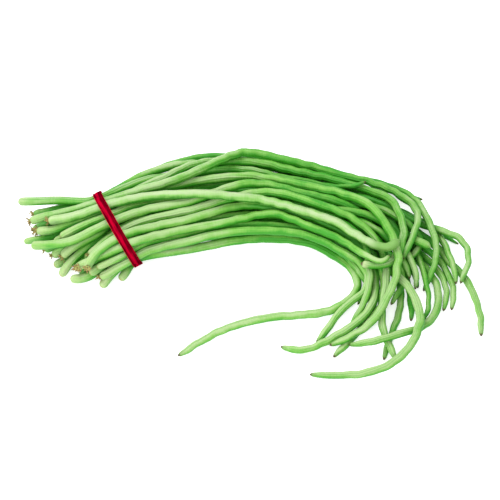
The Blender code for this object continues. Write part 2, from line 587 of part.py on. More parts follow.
def tie_band(chains, radii):
    """The strip of tape: one turn pulled round the pods, flat where it lies on the table."""
    points = []
    for across, height, wide in tie_circles(chains, radii):
        for k in range(TAPE_TURNS):
            turn = 2.0 * math.pi * k / TAPE_TURNS
            reach = wide + TAPE_GAP
            y = across + reach * math.cos(turn)
            z = height + reach * math.sin(turn)
            points.append((round(y, 3), round(max(z, TAPE_THICK), 3)))
    inner = thin_out(hull(points), TAPE_EDGE)
    outer = []
    for i, p in enumerate(inner):
        a, b = inner[i - 1], inner[(i + 1) % len(inner)]
        dx, dy = b[0] - a[0], b[1] - a[1]
        long = math.hypot(dx, dy)
        y, z = p[0] + TAPE_THICK * dy / long, p[1] - TAPE_THICK * dx / long
        outer.append((y, 0.0 if p[1] < TAPE_THICK + 0.001 else max(z, 0.0)))
    count = len(inner)
    verts = []
    for offset in (-0.5 * TAPE_WIDTH, 0.5 * TAPE_WIDTH):
        for y, z in outer + inner:
            verts.append(TAPE_AT + offset * TAPE_AHEAD + y * TAPE_LEFT + z * TAPE_RISE)
    faces = []
    for i in range(count):
        n = (i + 1) % count
        far = 2 * count
        faces.append((i, n, far + n, far + i))
        faces.append((count + i, far + count + i, far + count + n, count + n))
        faces.append((i, count + i, count + n, n))
        faces.append((far + i, far + n, far + count + n, far + count + i))
    band = solid("tie_band", verts, faces, TAPE_SHARP)
    paint(band, (0.42, 0.004, 0.018), 0.28)
    return band


names, chains, radii = lay_out()
pieces = [pod(*row) for row in zip(names, chains, radii)]
for number, piece in enumerate(pieces):
    shade = 0.9 + 0.2 * ((number * 7) % 10) / 10.0
    paint(piece, (0.20 * shade, 0.46 * shade, 0.10 * shade), 0.45)
pieces.append(tie_band(chains, radii))

# The origin goes to the middle of the outline; the meshes move, so every piece stays at zero.
corners = np.array([v.co for piece in pieces for v in piece.data.vertices])
middle = 0.5 * (corners.min(axis=0) + corners.max(axis=0))
for piece in pieces:
    for vert in piece.data.vertices:
        vert.co.x -= middle[0]
        vert.co.y -= middle[1]
print("pieces:", len(pieces), "middle:", middle, "size:", corners.max(axis=0) - corners.min(axis=0))
print("triangles:", sum(len(p.data.loop_triangles) or 2 * len(p.data.polygons) for p in pieces))
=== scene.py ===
"""Yardlong bean bunch: fresh green pods laid side by side and held by one strip of red tape.

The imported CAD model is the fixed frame.  Each pod's CAD solid gives its line and thickness, and
a detailed pod is grown round that line.  Lengths are millimetres until a mesh is made.
"""

import math

import bpy
import numpy as np
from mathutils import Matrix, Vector


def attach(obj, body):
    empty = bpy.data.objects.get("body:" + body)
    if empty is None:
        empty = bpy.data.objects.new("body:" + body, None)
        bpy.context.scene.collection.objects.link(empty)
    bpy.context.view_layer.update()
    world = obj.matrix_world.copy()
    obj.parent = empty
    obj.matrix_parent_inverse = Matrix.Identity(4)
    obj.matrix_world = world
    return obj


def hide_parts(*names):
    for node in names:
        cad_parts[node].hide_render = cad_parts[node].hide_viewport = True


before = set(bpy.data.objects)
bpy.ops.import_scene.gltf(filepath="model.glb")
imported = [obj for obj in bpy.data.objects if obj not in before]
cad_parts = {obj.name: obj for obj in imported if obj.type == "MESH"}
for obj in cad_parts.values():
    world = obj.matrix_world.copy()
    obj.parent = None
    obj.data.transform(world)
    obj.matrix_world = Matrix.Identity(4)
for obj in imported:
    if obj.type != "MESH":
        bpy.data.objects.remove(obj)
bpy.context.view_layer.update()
MM = 0.001


# Pods at the heart of the bunch.  Each is one living pod: a long fleshy tube with a seam down
# two opposite sides, seeds that swell it every two centimetres, and skin that wrinkles across
# its length as it dries.  They are picked in bunches and laid side by side, stems together.
CAD_SIDES = 8
RING_STEP = 1.25
LINE_POINTS = 700
LINE_PASSES = 60
STILL_END = 25.0
SEED_STEP = 19.0
SEED_REACH = 5.5
SEEDLESS_TIP = 22.0
WRINKLE = 0.034
ROUND_END = 3.4
ROUND_TIP = 2.0
END_RINGS = 7
THINNEST = 0.02
FLOOR_GAP = 0.02

# Painted highlight: the side of a pod that is turned up to the light is painted paler.
PAINTED_LIGHT_SIDE = np.array((-0.42, 0.22, 0.88))

# The direction that a pod's first seam is measured from before it is rolled.
TOP_SIDE = np.array((0.0, -0.35, 0.94))

# Turns round a pod where its mesh has an edge: close at both seams, wider between them.
SEAM_TURNS = (0.0, 0.10, 0.20, 0.30, 0.42, 0.62, 0.88, 1.16, 1.44)
HALF_TURNS = SEAM_TURNS + tuple(math.pi - t for t in SEAM_TURNS[:-1][::-1])
TURNS = np.array(HALF_TURNS + tuple(2.0 * math.pi - t for t in HALF_TURNS[-2:0:-1]))


def whole_rings(beside, start):
    """Rings of points, one after another, from the point at one end of a pod's solid."""
    rings, seen = [[start]], {start}
    while True:
        reached = {b for a in rings[-1] for b in beside[a]} - seen
        if len(reached) == 1:
            return rings + [sorted(reached)]
        if len(reached) != CAD_SIDES:
            return rings
        rings.append(sorted(reached))
        seen |= reached


def cad_rings(node):
    """Centre and radius of every ring of a pod's CAD solid in millimetres, stem end first."""
    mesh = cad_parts[node].data
    places = np.array([v.co for v in mesh.vertices]).round(6)
    spots, spot_of = np.unique(places, axis=0, return_inverse=True)
    spot_of = spot_of.reshape(-1).tolist()
    beside = [set() for _ in spots]
    for face in mesh.polygons:
        ring = [spot_of[i] for i in face.vertices]
        for a, b in zip(ring, ring[1:] + ring[:1]):
            if a != b:
                beside[a].add(b)
                beside[b].add(a)
    leftmost_first = np.argsort(spots[:, 0], kind="stable").tolist()
    ends = [i for i in leftmost_first if len(beside[i]) == CAD_SIDES]
    runs = [whole_rings(beside, end) for end in ends]
    rings = runs[0]
    if len(rings[-1]) != 1:
        rings = rings[:-1] + max(runs[1:], key=len)[::-1]
    rings = [spots[ring] / MM for ring in rings]
    centres = np.array([ring.mean(axis=0) for ring in rings])
    radii = np.array([np.linalg.norm(ring - ring.mean(axis=0), axis=1).mean() for ring in rings])
    return centres, radii


def along(points):
    """Distance of each point from the first, measured along the line."""
    return np.concatenate(((0.0,), np.cumsum(np.linalg.norm(np.diff(points, axis=0), axis=1))))


def curve_through(points, count):
    """A dense smooth curve through the points, as a spline with centripetal steps."""
    p = np.vstack((2 * points[0] - points[1], points, 2 * points[-1] - points[-2]))
    knot = along(p)
    knot = np.concatenate(((0.0,), np.cumsum(np.sqrt(np.diff(knot)))))
    t = np.linspace(knot[1], knot[-2], count)
    k = np.clip(np.searchsorted(knot, t, side="right") - 1, 1, len(p) - 3)
    t0, t1, t2, t3 = (knot[k + i][:, None] for i in (-1, 0, 1, 2))
    p0, p1, p2, p3 = (p[k + i] for i in (-1, 0, 1, 2))
    t = t[:, None]
    a1 = ((t1 - t) * p0 + (t - t0) * p1) / (t1 - t0)
    a2 = ((t2 - t) * p1 + (t - t1) * p2) / (t2 - t1)
    a3 = ((t3 - t) * p2 + (t - t2) * p3) / (t3 - t2)
    b1 = ((t2 - t) * a1 + (t - t0) * a2) / (t2 - t0)
    b2 = ((t3 - t) * a2 + (t - t1) * a3) / (t3 - t1)
    return ((t2 - t) * b1 + (t - t1) * b2) / (t2 - t1)


def at_lengths(values, run, lengths):
    """Rows of values at the given distances along the line."""
    return np.column_stack([np.interp(lengths, run, column) for column in values.T])


def eased(points, passes):
    """The points drawn towards their neighbours a number of times, with both ends kept."""
    for _ in range(passes):
        points[1:-1] = 0.5 * points[1:-1] + 0.25 * (points[:-2] + points[2:])
    return points


def waves(rng, s, lengths, height):
    """A sum of gentle waves of the given wavelengths along the pod."""
    total = np.zeros_like(s)
    for length in lengths:
        turns = s / (length * rng.uniform(0.85, 1.15))
        total += np.sin(2 * math.pi * turns + rng.uniform(0, 6.3))
    return height * total / len(lengths)


def grow_line(node, rng, wavy):
    """Ring distances, centres and radii of a pod's visible skin."""
    centres, radii = cad_rings(node)
    dense = curve_through(centres, LINE_POINTS)
    run = along(dense)
    dense = eased(at_lengths(dense, run, np.linspace(0.0, run[-1], LINE_POINTS)), LINE_PASSES)
    run = along(dense)
    long = run[-1]
    cap = ROUND_END * (1 - np.cos(np.linspace(0, 0.5 * math.pi, END_RINGS)))
    between = np.linspace(ROUND_END, long - ROUND_END, int((long - 2 * ROUND_END) / RING_STEP))
    s = np.concatenate((cap[:-1], between, long - cap[::-1][1:]))
    line = at_lengths(dense, run, s)

    # The solid narrows to a point at each end; the skin keeps its full radius up to its own ends.
    body = radii.copy()
    body[:3] = radii[3]
    body[-1] = radii[-2]
    thick = np.interp(s, along(centres) * long / along(centres)[-1], body)

    # The loose ends at the front are the ripest and the fattest.
    thick *= np.interp(line[:, 1], (-75.0, -45.0), (1.12, 1.0))

    # A pod is straight where it is tied, and wanders more from side to side towards its tip.
    fade = np.clip(np.minimum(s, long - s) / STILL_END, 0.0, 1.0)
    side = np.cross(np.gradient(line, axis=0), (0.0, 0.0, 1.0))
    side /= np.linalg.norm(side, axis=1)[:, None]
    calm = np.interp(s / long, (0.0, 0.25, 0.50, 1.0), (0.25, 0.50, 1.0, 1.1))
    calm *= np.clip(0.75 + waves(rng, s, (90.0, 150.0), 0.6), 0.3, 1.3)
    sway = calm * waves(rng, s, (15.0, 19.0, 27.0), 0.60 * wavy)
    sway += waves(rng, s, (60.0, 90.0), 0.35)
    line += side * (fade * sway)[:, None]
    line[:, 2] += fade * calm * waves(rng, s, (17.0, 24.0, 40.0), 0.30 * wavy)
    return s, line, thick


def seed_swell(rng, s, wavy):
    """How far the seeds push the skin out at every ring, most in the riper half."""
    seeds = np.zeros_like(s)
    spot = rng.uniform(16.0, 26.0)
    while spot < s[-1] - SEEDLESS_TIP:
        reach = SEED_REACH * rng.uniform(0.85, 1.2)
        seeds += np.exp(-((s - spot) / reach) ** 2) * rng.uniform(0.6, 1.2)
        spot += SEED_STEP * rng.uniform(0.82, 1.2)
    ripe = np.interp(s / s[-1], (0.0, 0.3, 0.6), (0.3, 0.6, 1.0))
    return 0.30 * wavy * ripe * (seeds - 0.45) + waves(rng, s, (33.0, 52.0, 80.0), 0.12)


def seam_relief():
    """Height of the skin at every turn: a fine seam ridge beside a groove, and a groove behind."""
    off_seam = np.minimum(TURNS, 2 * math.pi - TURNS)
    ridge = 0.12 * np.exp(-(off_seam / 0.13) ** 2)
    groove = 0.18 * np.exp(-((off_seam - 0.32) / 0.13) ** 2)
    back_groove = 0.11 * np.exp(-((math.pi - off_seam) / 0.16) ** 2)
    return ridge - groove - back_groove


def cross_wrinkles(rng, s):
    """Folds of three widths across the pod, which lean and wander, at every ring and turn."""
    folds = np.zeros((len(s), len(TURNS)))
    for width in (2.7, 3.3, 4.6):
        wander = waves(rng, s, (13.0, 29.0), 0.9)[:, None]
        lean = rng.uniform(0.4, 0.9) * np.sin(TURNS[None, :] + rng.uniform(0, 6.3))
        folds += np.sin(2 * math.pi * s[:, None] / width + 2.2 * (wander + lean))
    return folds


def dome(distance, reach):
    """A ball end's outline: 0 at its pole, and 1 from the reach on."""
    return np.sqrt(np.clip(1.0 - (1.0 - np.clip(distance / reach, 0, 1)) ** 2, 0.0, 1.0))


def end_taper(s, blunt, necked):
    """Share of the full radius that every ring has, as the pod rounds off at both ends."""
    left = s[-1] - s
    if necked:
        stem = np.interp(s, (0.0, 0.3, 0.9, 1.8, 3.2, 6.0, 10.0),
                         (0.40, 0.58, 0.76, 0.88, 0.97, 1.03, 1.0))
    else:
        stem = dome(s, ROUND_END) * np.interp(s, (0.0, 3.0, 8.0, 22.0), (0.86, 0.98, 1.04, 1.0))
    if blunt:
        tip = dome(left, ROUND_END) * np.interp(left, (0.0, 5.0, 14.0), (1.12, 1.12, 1.0))
    else:
        plump = np.interp(left, (0.0, 4.0, 12.0, 26.0), (0.95, 1.08, 1.18, 1.0))
        tip = dome(left, ROUND_TIP) * plump
    return stem * tip


def skin_shape(rng, s, thick, wavy, blunt, necked):
    """Radius at every ring and turn: seeds, a section out of round, seams, wrinkles and ends."""
    swell = seed_swell(rng, s, wavy) * np.clip(thick / 3.0, 0.0, 1.0)
    oval = waves(rng, s, (31.0, 60.0, 110.0), 0.035) - 0.012
    wrinkle = cross_wrinkles(rng, s)
    dried = np.clip(0.6 + waves(rng, s, (27.0, 46.0), 0.8), 0.15, 1.3)
    two_sided = np.cos(2 * TURNS)[None, :]
    shape = thick[:, None] * (1.0 + oval[:, None] * two_sided)
    shape = shape + swell[:, None] * (0.75 - 0.25 * two_sided)
    shape = shape + seam_relief()[None, :] * np.clip(thick / 4.0, 0.3, 1.0)[:, None]
    shape = shape + WRINKLE * dried[:, None] * wrinkle
    return np.maximum(shape * end_taper(s, blunt, necked)[:, None], THINNEST)


def upright_frame(line, roll):
    """Two directions across the line at every ring: one kept topmost, then both rolled."""
    ahead = np.gradient(line, axis=0)
    ahead /= np.linalg.norm(ahead, axis=1)[:, None]
    up = TOP_SIDE - (ahead @ TOP_SIDE)[:, None] * ahead
    up /= np.linalg.norm(up, axis=1)[:, None]
    side = np.cross(ahead, up)
    turn = roll[:, None]
    return up * np.cos(turn) + side * np.sin(turn), side * np.cos(turn) - up * np.sin(turn)


# Pods are painted deep green where they lie deep between others: painted shade where little
# light gets in.  How deep a spot lies is measured from the smoothed top of the heap, from above
# the front, on 1 mm cells.
OVER_FRONT = np.array((0.0, -0.57, 0.82))
ACROSS_FRONT = np.array((0.0, 0.82, 0.57))
HEAP_HALF = 260
HEAP_CELLS = 2 * HEAP_HALF + 1
HEAP_POINTS = 500
HEAP_SOFT = 5.0
HEAP_SKIN = 1.0
HEAP_DEEP = 9.0
POD_REACH = 6
NOTHING = -100.0


def blurred(grid):
    """The grid spread softly over its neighbouring cells in both directions."""
    reach = int(3 * HEAP_SOFT)
    taps = np.exp(-0.5 * (np.arange(-reach, reach + 1) / HEAP_SOFT) ** 2)
    for axis in (0, 1):
        grid = np.apply_along_axis(np.convolve, axis, grid, taps, "same")
    return grid


def heap_cover():
    """Height of the smoothed top of the heap over every cell."""
    top = np.full((HEAP_CELLS, HEAP_CELLS), NOTHING)
    reach = np.arange(-POD_REACH, POD_REACH + 1)
    shift_x, shift_w = (a.ravel() for a in np.meshgrid(reach, reach))
    off = shift_x ** 2 + shift_w ** 2
    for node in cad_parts:
        if not node.startswith("pod_"):
            continue
        centres, radii = cad_rings(node)
        dense = curve_through(centres, HEAP_POINTS)
        thick = np.interp(along(dense), along(centres), radii)[:, None]
        x = np.round(dense[:, 0]).astype(int)[:, None] + shift_x + HEAP_HALF
        w = np.round(dense @ ACROSS_FRONT).astype(int)[:, None] + shift_w + HEAP_HALF
        rise = (dense @ OVER_FRONT)[:, None] + np.sqrt(np.clip(thick ** 2 - off, 0.0, None))
        near = off < thick ** 2 + 0.5
        np.maximum.at(top, (x[near], w[near]), rise[near])
    filled = top > NOTHING
    total = blurred(np.where(filled, top, 0.0))
    return total / np.maximum(blurred(filled.astype(float)), 1e-6)


def how_deep(points, cover):
    """How far each point lies below the heap's top, from 0 at the top to 1 deep inside."""
    x = np.clip(points[:, 0] + HEAP_HALF, 0, HEAP_CELLS - 1).round().astype(int)
    w = np.clip(points @ ACROSS_FRONT + HEAP_HALF, 0, HEAP_CELLS - 1).round().astype(int)
    below = cover[x, w] - points @ OVER_FRONT
    return np.clip((below - HEAP_SKIN) / HEAP_DEEP, 0.0, 1.0)


heap_top = heap_cover()


def mesh_object(name, points, faces, material):
    """A smooth mesh object from millimetre points that rides on the bunch."""
    mesh = bpy.data.meshes.new(name)
    mesh.from_pydata((points * MM).tolist(), [], faces)
    mesh.shade_smooth()
    mesh.materials.append(material)
    piece = bpy.data.objects.new(name, mesh)
    bpy.context.scene.collection.objects.link(piece)
    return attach(piece, "root")


def note(piece, name, values):
    """Keeps one number, or one vector, per point of the mesh for its finish to read."""
    kind, key = ("FLOAT_VECTOR", "vector") if values.ndim == 2 else ("FLOAT", "value")
    layer = piece.data.attributes.new(name, kind, "POINT")
    layer.data.foreach_set(key, values.astype(np.float32).ravel())


def tube_faces(rings, sides, first=0):
    """Faces of an open tube of rings of points, from the first of its points on."""
    faces = []
    for r in range(rings - 1):
        a, b = first + r * sides, first + (r + 1) * sides
        for k in range(sides):
            n = (k + 1) % sides
            faces.append((a + k, a + n, b + n, b + k))
    return faces


# Each pod starts its waves from a seed of its own and reads its clouds this far from the last
# pod's, so that no two look alike.
POD_SEED = 100
POD_APART = 900.0

# The middle and the half width of the crown, where the bunch bends over and is crowded.
CROWN_X = 75.0
CROWN_WIDE = 75.0


def tone_with_painted_light(line, tone, shaded):
    """The pod's own tone at every ring, with painted light and painted shade added by where it
    lies.

    It has painted light where pods lie open past the tie and along the front, and painted shade
    where they are crowded on the back half of the crown.
    """
    painted_open_light = np.interp(line[:, 0], (-150.0, -110.0, -50.0, 0.0), (0.0, 1.0, 1.0, 0.0))
    crown = np.exp(-((line[:, 0] - CROWN_X) / CROWN_WIDE) ** 2)
    painted_crowd_shade = crown * np.clip((line[:, 1] + 12.0) / 25.0, 0.0, 1.0)
    painted_front_light = np.clip((-line[:, 1] - 25.0) / 30.0, 0.0, 1.0)
    return tone + shaded * (0.15 * painted_open_light - 0.45 * painted_crowd_shade) + 0.05 * painted_front_light


def seam_mark(turns):
    """1 in the groove beside the first seam, 0.7 in the groove behind, and 0 elsewhere."""
    off_seam = np.minimum(turns, 2 * math.pi - turns)
    beside = np.exp(-((off_seam - 0.30) / 0.14) ** 2)
    return np.maximum(beside, 0.7 * np.exp(-((math.pi - off_seam) / 0.17) ** 2))


def grow_pod(node, number, material, tone, wavy, roll, necked=False, blunt=False, tip_dark=1.0,
             green_end=0.0, pale_end=0.0, veined=0.25, shaded=1.0):
    """Builds the visible pod for a CAD pod and lets it stand for that node."""
    rng = np.random.default_rng(POD_SEED + number)
    s, line, thick = grow_line(node, rng, wavy)
    shape = skin_shape(rng, s, thick, wavy, blunt, necked)
    twist = math.radians(roll) + waves(rng, s, (140.0, 260.0), 0.5)
    up, side = upright_frame(line, twist)
    spokes = (np.cos(TURNS)[None, :, None] * up[:, None, :]
              + np.sin(TURNS)[None, :, None] * side[:, None, :])
    skin = line[:, None, :] + shape[:, :, None] * spokes
    skin[:, :, 2] = np.maximum(skin[:, :, 2], FLOOR_GAP)
    sides, rings = len(TURNS), len(s)
    points = np.vstack((skin.reshape(-1, 3), line[:1], line[-1:]))
    faces = tube_faces(rings, sides)
    stem_point, tip_point = rings * sides, rings * sides + 1
    last = (rings - 1) * sides
    for k in range(sides):
        n = (k + 1) % sides
        faces.append((stem_point, n, k))
        faces.append((tip_point, last + k, last + n))
    piece = mesh_object("bean_" + node, points, faces, material)

    def per_point(rows, first, final):
        return np.concatenate((np.repeat(rows, sides), (first, final)))

    from_stem = per_point(s, 0.0, s[-1])
    turns = np.concatenate((np.tile(TURNS, rings), (0.0, 0.0)))
    radius = np.concatenate((shape.ravel(), (0.0, 0.0)))
    note(piece, "straight", np.column_stack((
        from_stem + POD_APART * number, radius * np.cos(turns), radius * np.sin(turns))))
    note(piece, "from_stem", from_stem)
    note(piece, "from_tip", s[-1] - from_stem)
    note(piece, "seam", seam_mark(turns))
    # Painted highlight: how far each point of the skin faces the light.
    painted_highlight = ((skin - line[:, None, :]) / shape[:, :, None]) @ PAINTED_LIGHT_SIDE
    note(piece, "painted_highlight", np.concatenate((painted_highlight.ravel(), (0.0, 0.0))))
    # The tone carries painted light and painted shade from where the pod lies.
    tones_with_painted_light = tone_with_painted_light(line, tone, shaded)
    note(piece, "tone", per_point(tones_with_painted_light, tones_with_painted_light[0], tones_with_painted_light[-1]))
    # Painted shade: how deep each point lies below the top of the heap.
    note(piece, "deep", how_deep(points, heap_top))
    veins = np.interp(s[-1] - s, (60.0, 210.0), (max(0.6, veined), veined))
    note(piece, "veins", per_point(veins, veined, 1.0))
    for name, value in (("pale_end", pale_end), ("tip_dark", tip_dark), ("green_end", green_end)):
        note(piece, name, np.full(len(points), value))
    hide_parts(node)
    return line, up


class Wire:
    """A socket in a material's node tree that takes part in Python sums."""

    def __init__(self, tree, socket=None):
        self.tree = tree
        self.socket = socket

    def node(self, kind, settings=None, feeds=None, out=0):
        """Adds a node: its settings first, then the value or link of each named socket."""
        made = self.tree.nodes.new("ShaderNode" + kind)
        for key, value in (settings or {}).items():
            setattr(made, key, value)
        for key, value in (feeds or {}).items():
            if isinstance(value, Wire):
                self.tree.links.new(value.socket, made.inputs[key])
            else:
                made.inputs[key].default_value = value
        return Wire(self.tree, made.outputs[out])

    def math(self, operation, other, swap=False):
        first, second = (other, self) if swap else (self, other)
        return self.node("Math", {"operation": operation}, {0: first, 1: second})

    def __add__(self, other):
        return self.math("ADD", other)

    def __radd__(self, other):
        return self.math("ADD", other, True)

    def __sub__(self, other):
        return self.math("SUBTRACT", other)

    def __rsub__(self, other):
        return self.math("SUBTRACT", other, True)

    def __mul__(self, other):
        return self.math("MULTIPLY", other)

    def ramp(self, low, high, start=0.0, end=1.0):
        """This value carried from low..high to start..end, smooth and clamped."""
        return self.node("MapRange", {"interpolation_type": "SMOOTHSTEP"}, {
            "Value": self, "From Min": low, "From Max": high, "To Min": start, "To Max": end})

    def mix(self, colour, other):
        """Colour where this mask is 0, and the other colour where it is 1."""
        feeds = {0: self}
        for key, value in ((6, colour), (7, other)):
            feeds[key] = value if isinstance(value, Wire) else (*value, 1.0)
        return self.node("Mix", {"data_type": "RGBA"}, feeds, 2)

    def stretched(self, x, y, z):
        """This vector with each axis scaled."""
        return self.node("VectorMath", {"operation": "MULTIPLY"}, {0: self, 1: (x, y, z)})

    def noise(self, detail=2.0, rough=0.5):
        """Cloudy values from 0 to 1 at this vector."""
        return self.node("TexNoise", {}, {
            "Vector": self, "Scale": 1.0, "Detail": detail, "Roughness": rough})

    def kept(self, name):
        """A number that the mesh keeps per point."""
        return self.node("Attribute", {"attribute_name": name}, out="Fac")

    def kept_vector(self, name):
        """A vector that the mesh keeps per point."""
        return self.node("Attribute", {"attribute_name": name}, out="Vector")


def new_finish(name):
    """An empty material with its shader, as the tree's start and the shader node."""
    material = bpy.data.materials.new(name)
    material.use_nodes = True
    return material, Wire(material.node_tree), material.node_tree.nodes["Principled BSDF"]


def set_inputs(start, shader, feeds):
    """Values or links for the shader's own sockets."""
    for key, value in feeds.items():
        if isinstance(value, Wire):
            start.tree.links.new(value.socket, shader.inputs[key])
        else:
            shader.inputs[key].default_value = value


# Colours that all pods share, for what has dried or dulled.
DRY_FLECK = (0.14, 0.17, 0.04)
STALK_SCAR = (0.34, 0.26, 0.10)
DULL_GREEN = (0.08, 0.18, 0.03)
DRIED_TIP = (0.062, 0.050, 0.012)


def pod_skin(name, deep, fresh, light, bloom):
    """Waxy green skin: cloudy along its length, paler at the stem, with brown dried tips, and with
    painted highlights and painted shade in its green.
    """
    material, start, shader = new_finish(name)
    lie = start.kept_vector("straight")
    stem, tip = start.kept("from_stem"), start.kept("from_tip")
    seam, veins = start.kept("seam"), start.kept("veins")
    tone, painted_highlight, painted_heap_shade = start.kept("tone"), start.kept("painted_highlight"), start.kept("deep")
    tip_dark = start.kept("tip_dark")

    # Clouds and streaks lie along the pod, and folds across it.
    clouds = lie.stretched(0.045, 0.13, 0.13).noise(3.0)
    streaks = lie.stretched(0.012, 0.42, 0.42).noise(2.0)
    folds = lie.stretched(0.75, 0.10, 0.10).noise(2.5, 0.6)
    fine = lie.stretched(1.5, 0.30, 0.30).noise(2.0, 0.6)

    # The green, from deep to light: its own clouds, streaks, folds and tone, with a painted
    # highlight on the side turned to the light, painted shade where it lies deep in the heap, and
    # the painted light and shade that its tone carries.  The lines beside the seams are darker:
    # partly the seam's own colour and partly painted shade in its grooves.
    shade = clouds + streaks * 0.7 + folds * 0.30 + tone + painted_highlight * 0.50 - painted_heap_shade * 0.55 - 1.15
    colour = shade.ramp(-0.34, 0.12).mix(deep, fresh)
    colour = shade.ramp(0.00, 0.50).mix(colour, light)
    colour = (seam * veins * 0.72).mix(colour, deep)

    # The stem end has a pale bloom, and a scar where the stalk was.
    near_stem = stem.ramp(1.0, 24.0, 1.0, 0.0)
    # Painted shade also dims the bloom where the stem end lies deep in the heap.
    colour = (near_stem * (clouds * 0.9 + 0.10) * (1.0 - painted_heap_shade * 0.7)).mix(colour, bloom)
    flecks = lie.stretched(0.40, 0.60, 0.60).noise(1.0).ramp(0.73, 0.80)
    colour = (flecks * 0.25).mix(colour, DRY_FLECK)
    scar = stem.ramp(0.3, 1.3, 0.6, 0.0)
    colour = scar.mix(colour, STALK_SCAR)

    # The tip turns dull, and dries brown at its very end.  A few pods end pale or plain green.
    beak = tip.ramp(1.0, 9.0, 1.0, 0.0) * tip_dark
    colour = (beak * 0.45).mix(colour, DULL_GREEN)
    colour = (tip.ramp(4.0, 9.0, 1.0, 0.0) * start.kept("pale_end")).mix(colour, bloom)
    end = (tip + folds * 1.4).ramp(1.7, 3.8, 1.0, 0.0) * tip_dark
    colour = end.mix(colour, DRIED_TIP)
    plain = tip.ramp(20.0, 36.0, 1.0, 0.0) * start.kept("green_end")
    colour = plain.mix(colour, tuple(0.72 * part for part in fresh))

    relief = folds * 0.55 + fine * 0.50 + streaks * 0.3 - seam * 0.4
    bump = start.node("Bump", {}, {"Strength": 0.75, "Distance": 0.0007, "Height": relief})
    set_inputs(start, shader, {
        "Base Color": colour,
        "Roughness": 0.44 + clouds * 0.14 + scar * 0.3,
        "Normal": bump,
        "Subsurface Weight": 0.08,
        "Subsurface Radius": (0.5, 1.0, 0.2),
        "Subsurface Scale": 0.0012,
        "Specular IOR Level": 0.28,
    })
    return material


core_skin = pod_skin("core_pod_skin", (0.031, 0.250, 0.009), (0.126, 0.346, 0.044),
                     (0.284, 0.432, 0.168), (0.365, 0.465, 0.208))

# Number of the pod, which also sets its own waves and clouds, then its tone, how wavy it is, the
# roll of its seam in degrees, and how its ends differ from the usual.
CORE_PODS = (
    (1, 0.10, 0.9, 5, {}),
    (2, 0.06, 1.0, -30, {}),
    (3, -0.02, 1.0, 20, {}),
    (4, 0.02, 0.9, 50, {}),
    (5, 0.05, 0.9, -20, {}),
    (6, 0.00, 0.9, 40, {}),
    (7, 0.06, 0.8, -60, {}),
    (8, 0.00, 0.8, 10, {}),
    (9, 0.08, 0.8, 200, {}),
    (10, 0.06, 0.8, 30, {}),
    (11, -0.08, 0.9, 130, {}),
    (12, -0.10, 0.9, 30, {}),
    (13, -0.14, 0.7, 90, {"necked": True}),
    (14, 0.08, 0.9, 110, {"blunt": True, "tip_dark": 0.0}),
    (15, 0.00, 0.7, 55, {}),
    (16, 0.00, 0.8, 15, {}),
    (17, 0.00, 0.8, 35, {}),
    (18, 0.00, 0.8, 95, {}),
    (19, 0.12, 0.7, 70, {}),
    (20, 0.12, 0.7, 140, {"necked": True}),
    (21, 0.04, 0.9, 25, {}),
    (22, -0.10, 0.7, 65, {}),
    (23, -0.04, 0.7, 85, {}),
)
stem_ends = {}
for number, tone, wavy, roll, ends in CORE_PODS:
    node = f"pod_core_{number:02d}"
    stem_ends[node] = grow_pod(node, number, core_skin, tone, wavy, roll, **ends)


# Pods along the front and the middle of the bunch.  They are the same living pods as the core
# ones, laid on top of them, and a little paler.  Their numbers go on from 31.
outer_skin = pod_skin("outer_pod_skin", (0.034, 0.258, 0.010), (0.150, 0.382, 0.054),
                      (0.300, 0.442, 0.184), (0.370, 0.466, 0.212))
OUTER_PODS = (
    ("front_04", 0.08, 0.9, 48, {}),
    ("front_03", 0.04, 0.9, -40, {"necked": True}),
    ("front_02", -0.02, 0.9, 20, {}),
    ("front_01", 0.04, 1.2, 100, {"blunt": True}),
    ("mid_04", 0.03, 1.1, -35, {}),
    ("mid_03", 0.10, 1.0, 30, {"necked": True}),
    ("mid_02", 0.06, 1.1, -25, {}),
    ("mid_01", 0.04, 1.0, 25, {}),
)
for number, (row, tone, wavy, roll, ends) in enumerate(OUTER_PODS, 31):
    node = "pod_" + row
    stem_ends[node] = grow_pod(node, number, outer_skin, tone, wavy, roll, **ends)


# Pods along the back of the bunch.  They are laid in like the others, a little greener, and
# their tips hang over its far end.  Their numbers go on from 51.
back_skin = pod_skin("back_pod_skin", (0.031, 0.250, 0.009), (0.124, 0.342, 0.045),
                     (0.294, 0.432, 0.188), (0.365, 0.465, 0.212))
BACK_PODS = (
    ("back_04", 0.03, 0.7, -25, {"veined": 1.0}),
    ("back_03", -0.04, 1.0, 45, {"necked": True}),
    ("back_02", -0.02, 1.3, 110, {"necked": True}),
    ("back_05", 0.05, 1.3, 15, {"blunt": True, "pale_end": 0.9}),
    ("back_01", 0.02, 1.5, 60, {"necked": True}),
)
for number, (row, tone, wavy, roll, ends) in enumerate(BACK_PODS, 51):
    node = "pod_" + row
    stem_ends[node] = grow_pod(node, number, back_skin, tone, wavy, roll, **ends)


# The two pods on top, laid over all the others before the bunch is tied.  The shorter one is the
# palest of the bunch and ends thick and rounded.
top_skin = pod_skin("top_pod_skin", (0.026, 0.200, 0.008), (0.185, 0.415, 0.082),
                    (0.340, 0.455, 0.228), (0.385, 0.480, 0.240))
stem_ends["pod_top_02"] = grow_pod("pod_top_02", 61, outer_skin, 0.06, 1.3, 40, necked=True)
stem_ends["pod_top_01"] = grow_pod("pod_top_01", 62, top_skin, 0.06, 1.2, 120, necked=True,
                                   blunt=True, tip_dark=0.4, green_end=0.95, shaded=0.0)


# The dried flower cup left at many stem ends: six or more thin brown sepals that stand out round
# a short stub of stalk.  They are part of the pod and have shrivelled since picking.
CUP_SEED = 500
CUP_APART = 40.0
SEPAL_ROWS = 8
SEPAL_COLUMNS = 5
SEPAL_THIN = 0.10
SEPAL_ROOT = 0.16
CUP_RING = 6
CUP_SEAT = 3.5
STUB_RINGS = 7
STUB_SIDES = 12
STUB_FOOT = 1.75
STUB_WAIST = 0.80
BROWN, TAN = (0.070, 0.040, 0.009), (0.235, 0.150, 0.034)
STRAW, STALK_GREEN = (0.54, 0.45, 0.18), (0.36, 0.44, 0.11)


